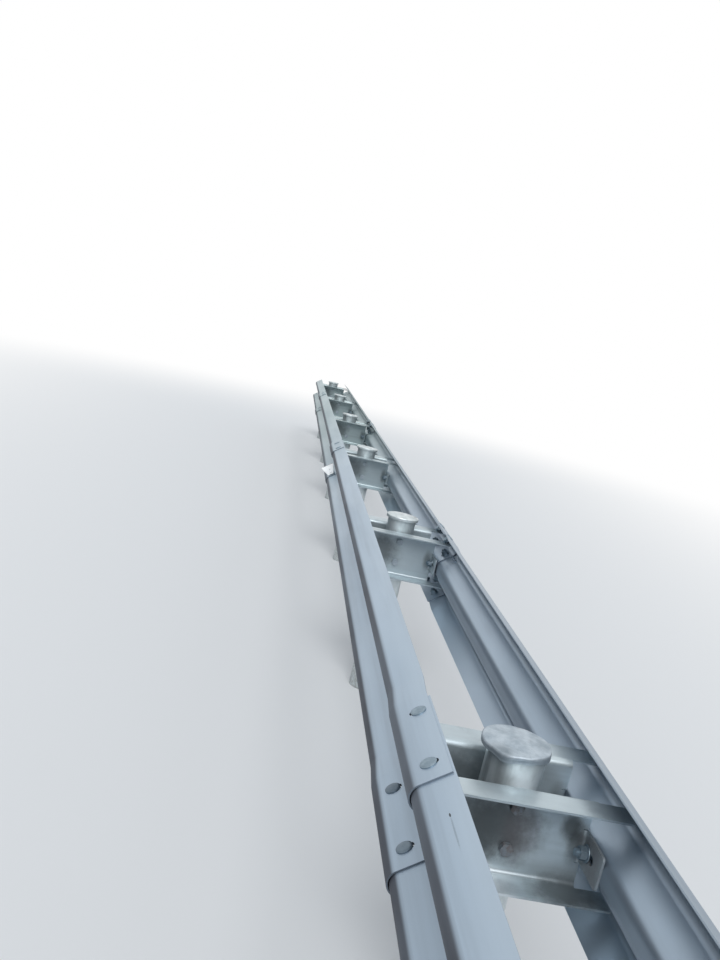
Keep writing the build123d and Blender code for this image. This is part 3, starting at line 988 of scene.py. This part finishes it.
def shapeDisc(cap):
    look = batteredCap
    startEdit(cap)
    pickFaces(cap, facing(-1))
    bpy.ops.mesh.delete(type="ONLY_FACE")
    bpy.ops.mesh.select_mode(type="EDGE")
    pickEdges(cap, lambda edge: min(vert.co.z for vert in edge.verts) > look["flat"] - 0.0001)
    bpy.ops.mesh.bevel(offset=look["shoulder"], segments=4)
    for level in look["cuts"]:
        bpy.ops.mesh.select_all(action="SELECT")
        cut = look["rim"] + level * (look["flat"] - look["shoulder"] - look["rim"])
        bpy.ops.mesh.bisect(plane_co=(0, 0, cut), plane_no=(0, 0, 1))
    bpy.ops.mesh.select_mode(type="FACE")
    pickFaces(cap, facing(1, 0.999))
    edge = look["radius"] - look["shoulder"]
    step = (edge - look["hub"]) / look["rings"]
    last = 0.0
    for ring in range(1, look["rings"] + 1):
        inward = min(1.0, ring * step / (edge - look["crownHub"]))
        rise = look["crown"] * math.sin(inward * math.pi / 2) ** look["crownPower"]
        bpy.ops.mesh.inset(thickness=step, depth=rise - last)
        last = rise
    endEdit()


def batter(cap):
    look = batteredCap
    direction, half, inward = look["fold"]
    waveDepth, waves = look["waves"]
    skin = look["tube"] + look["sheet"]
    for vert in cap.data.vertices:
        spot = vert.co
        drop = 0.0
        for angle, distance, reach, depth in look["blows"]:
            turn = math.radians(angle)
            middle = Vector((distance * math.cos(turn), distance * math.sin(turn)))
            away = (spot.xy - middle).length / reach
            drop += depth * math.exp(-away * away * look["blowFall"])
        radius = math.hypot(spot.x, spot.y)
        turned = (math.degrees(math.atan2(spot.y, spot.x)) - direction + 180) % 360 - 180
        low = min(1.0, max(0.0, (look["flat"] - spot.z) / look["skirt"]))
        bend = inward * low * math.exp(-((turned / half) ** 2) * look["foldFall"])
        bend += waveDepth * low * math.sin(math.radians(turned * waves))
        if radius > skin:
            outside = (radius - skin) / (look["radius"] - skin)
            leant = look["lean"] * math.sin(math.atan2(spot.y, spot.x)) * outside
            keep = max(skin, radius - bend + leant) / radius
            spot.x *= keep
            spot.y *= keep
            spot.z -= drop * (look["crownDrop"] + (1 - look["crownDrop"]) * low)
        else:
            spot.z = max(spot.z - drop, look["underside"] + look["sheet"])


def makeBatteredCap():
    look = batteredCap
    height = look["flat"] - look["rim"]
    cap = addCylinder(look["sides"], look["radius"], height, look["rim"] + height / 2)
    shapeDisc(cap)
    batter(cap)
    wall = cap.modifiers.new("wall", "SOLIDIFY")
    wall.thickness = look["sheet"]
    wall.offset = -1
    pickOnly(cap)
    bpy.ops.object.modifier_apply(modifier="wall")
    for vert in cap.data.vertices:
        if math.hypot(vert.co.x, vert.co.y) < look["tube"]:
            vert.co.z = max(vert.co.z, look["underside"])
    settleMesh(cap, 50)
    cap.data.transform(Matrix.Translation((postX(look["post"]), 0, 0)))
    cap.data.materials.append(capZinc)
    joinAs("battered_cap", [cap])
    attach(cap, "root")
    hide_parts(f"cap_{look['post']}")


makeBatteredCap()
print("battered cap made for the nearest post")


# reflective sheets on the delineator's two faces, and the rivets that hold it to its bracket
reflector = {
    "near": -0.136, "far": -0.124, "margin": 0.0018, "sheet": 0.0009, "corner": 0.003,
    "short": 0.036, "long": 0.084, "height": 0.058, "foot": 0.004, "downSlope": 0.008,
    "rivets": (0.015, 0.036), "rivetRadius": 0.004, "rivetRise": 0.0022, "rivetRings": 10,
}


def reflectorFrame():
    # local X down the slope, local Y away from the rail, local Z along the road towards -X
    depth, rise, lean = lap["inner"]
    normal = Vector((0, slopeCos, slopeSin))
    down = Vector((0, slopeSin, -slopeCos))
    base = Vector((0, run["railBack"] + depth, run["railMiddle"] - rise))
    base += normal * (run["railSheet"] / 2 + run["lapStep"] * slopeCos)
    turned = Matrix((down, normal, Vector((-1, 0, 0)))).transposed().to_4x4()
    return Matrix.Translation(base) @ turned


def makeReflectorSheet(name, x, side):
    look = reflector
    sheet = addBlock((1, look["height"] - 2 * look["margin"], look["sheet"]))
    lean = (look["long"] - look["short"]) / look["height"]
    bottom = look["short"] + lean * look["margin"] - 2 * look["margin"]
    top = look["long"] - lean * look["margin"] - 2 * look["margin"]
    startEdit(sheet, "VERT")
    for end, width in ((-1, bottom), (1, top)):
        mesh = bmesh.from_edit_mesh(sheet.data)
        for vert in mesh.verts:
            vert.select_set(vert.co.y * end > 0)
        mesh.select_flush_mode()
        bmesh.update_edit_mesh(sheet.data)
        bpy.ops.transform.resize(value=(width, 1, 1), center_override=(0, 0, 0))
        bpy.ops.mesh.select_all(action="DESELECT")
    bpy.ops.mesh.select_mode(type="EDGE")
    pickEdges(sheet, lambda edge: riseOf(edge) > look["sheet"] / 2)
    bpy.ops.mesh.bevel(offset=look["corner"], segments=4)
    endEdit()
    settleMesh(sheet, 30)
    middle = look["foot"] + look["height"] / 2
    sheet.data.transform(Matrix.Translation((look["downSlope"], middle, -x + side * look["sheet"] / 2)))
    sheet.data.transform(reflectorFrame())
    sheet.data.materials.append(reflectorSheeting)
    joinAs(name, [sheet])
    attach(sheet, "root")


def makeRivets():
    look = reflector
    rivets = []
    for height in look["rivets"]:
        for x, side in ((look["near"] - look["sheet"], 1), (look["far"] + run["bracketSheet"], -1)):
            bpy.ops.object.select_all(action="DESELECT")
            bpy.ops.mesh.primitive_uv_sphere_add(
                segments=look["rivetRings"] * 2, ring_count=look["rivetRings"], radius=look["rivetRadius"]
            )
            rivet = bpy.context.object
            startEdit(rivet)
            bpy.ops.mesh.select_all(action="SELECT")
            bpy.ops.mesh.bisect(plane_co=(0, 0, 0), plane_no=(0, 0, 1), clear_inner=True, use_fill=True)
            bpy.ops.mesh.select_all(action="SELECT")
            flat = look["rivetRise"] / look["rivetRadius"]
            bpy.ops.transform.resize(value=(1, 1, flat), center_override=(0, 0, 0))
            endEdit()
            settleMesh(rivet, 40)
            if side < 0:
                rivet.data.transform(Matrix.Rotation(math.pi, 4, "X"))
            rivet.data.transform(Matrix.Translation((look["downSlope"] / 2, height, -x)))
            rivet.data.transform(reflectorFrame())
            rivets.append(rivet)
    joined = joinAs("delineator_rivets", rivets)
    joined.data.materials.clear()
    joined.data.materials.append(delineatorPlastic)
    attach(joined, "root")


makeReflectorSheet("reflector_near", reflector["near"], 1)
makeReflectorSheet("reflector_far", reflector["far"], -1)
makeRivets()
print("delineator's sheets and rivets made")


# the camera, the floor and the light

cameraSet = {
    "place": (-5.5692, 0.5733, 1.4275),
    "turn": (80.7185, -12.9254, -93.7791),
    "lens": 33.573,
    "sensor": 36,
    "clip": (0.05, 300),
}
lensData = bpy.data.cameras.new("viewCamera")
lensData.sensor_width = cameraSet["sensor"]
lensData.lens = cameraSet["lens"]
lensData.clip_start, lensData.clip_end = cameraSet["clip"]
viewCamera = bpy.data.objects.new("viewCamera", lensData)
viewCamera.location = cameraSet["place"]
viewCamera.rotation_euler = [math.radians(angle) for angle in cameraSet["turn"]]
bpy.context.scene.collection.objects.link(viewCamera)
bpy.context.scene.camera = viewCamera

studio = {
    "floor": (0.80, 0.81, 0.82), "floorSize": 160.0, "floorRough": 0.9, "floorGloss": 0.1,
    # half the run's length, and how far from the run the floor starts and ends its fade to white
    "along": postX(run["posts"] - 1), "fadeFrom": 0.7, "fadeTo": 8.0,
    "sky": (0.88, 0.94, 1.0), "skyStrength": 0.52,
    "lampTurn": (46, 0, -97), "lampStrength": 1.85, "lampSoftness": 40,
}


def seenRay(tree):
    rays = tree.nodes.new("ShaderNodeLightPath").outputs
    seen = doMath(tree, "MAXIMUM", rays["Is Camera Ray"], rays["Is Glossy Ray"])
    return doMath(tree, "MAXIMUM", seen, rays["Is Transmission Ray"])


def makeFloor():
    bpy.ops.object.select_all(action="DESELECT")
    bpy.ops.mesh.primitive_plane_add(size=studio["floorSize"], location=(0, 0, 0))
    floor = bpy.context.object
    floor.name = "studioFloor"
    finish, tree, pale, place = startFinish("studioFloor")
    pale.inputs["Base Color"].default_value = (*studio["floor"], 1)
    pale.inputs["Roughness"].default_value = studio["floorRough"]
    pale.inputs["Specular IOR Level"].default_value = studio["floorGloss"]
    white = tree.nodes.new("ShaderNodeEmission")
    white.inputs["Color"].default_value = (1, 1, 1, 1)
    blend = tree.nodes.new("ShaderNodeMixShader")
    axes = splitAxes(tree, place)
    beyond = doMath(tree, "SUBTRACT", doMath(tree, "ABSOLUTE", axes["X"]), studio["along"])
    join = addNode(tree, "ShaderNodeCombineXYZ")
    feed(tree, doMath(tree, "MAXIMUM", beyond, 0.0), join.inputs[0])
    feed(tree, axes["Y"], join.inputs[1])
    fade = doRange(tree, lengthOf(tree, join.outputs[0]), studio["fadeFrom"], studio["fadeTo"])
    feed(tree, doMath(tree, "MULTIPLY", fade, seenRay(tree)), blend.inputs[0])
    tree.links.new(pale.outputs[0], blend.inputs[1])
    tree.links.new(white.outputs[0], blend.inputs[2])
    tree.links.new(blend.outputs[0], tree.nodes["Material Output"].inputs["Surface"])
    floor.data.materials.append(finish)


def makeSky():
    world = bpy.data.worlds.new("studioSky")
    bpy.context.scene.world = world
    world.use_nodes = True
    tree = world.node_tree
    tree.nodes.clear()
    end = tree.nodes.new("ShaderNodeOutputWorld")
    light = tree.nodes.new("ShaderNodeBackground")
    light.inputs["Color"].default_value = (*studio["sky"], 1)
    light.inputs["Strength"].default_value = studio["skyStrength"]
    white = tree.nodes.new("ShaderNodeBackground")
    white.inputs["Color"].default_value = (1, 1, 1, 1)
    blend = tree.nodes.new("ShaderNodeMixShader")
    feed(tree, seenRay(tree), blend.inputs[0])
    tree.links.new(light.outputs[0], blend.inputs[1])
    tree.links.new(white.outputs[0], blend.inputs[2])
    tree.links.new(blend.outputs[0], end.inputs["Surface"])


def makeLamp():
    lamp = bpy.data.lights.new("softSun", "SUN")
    lamp.energy = studio["lampStrength"]
    lamp.angle = math.radians(studio["lampSoftness"])
    sun = bpy.data.objects.new("softSun", lamp)
    sun.rotation_euler = [math.radians(angle) for angle in studio["lampTurn"]]
    bpy.context.scene.collection.objects.link(sun)


makeFloor()
makeSky()
makeLamp()
bpy.context.scene.view_settings.view_transform = "Standard"
print("camera, floor and light in place")
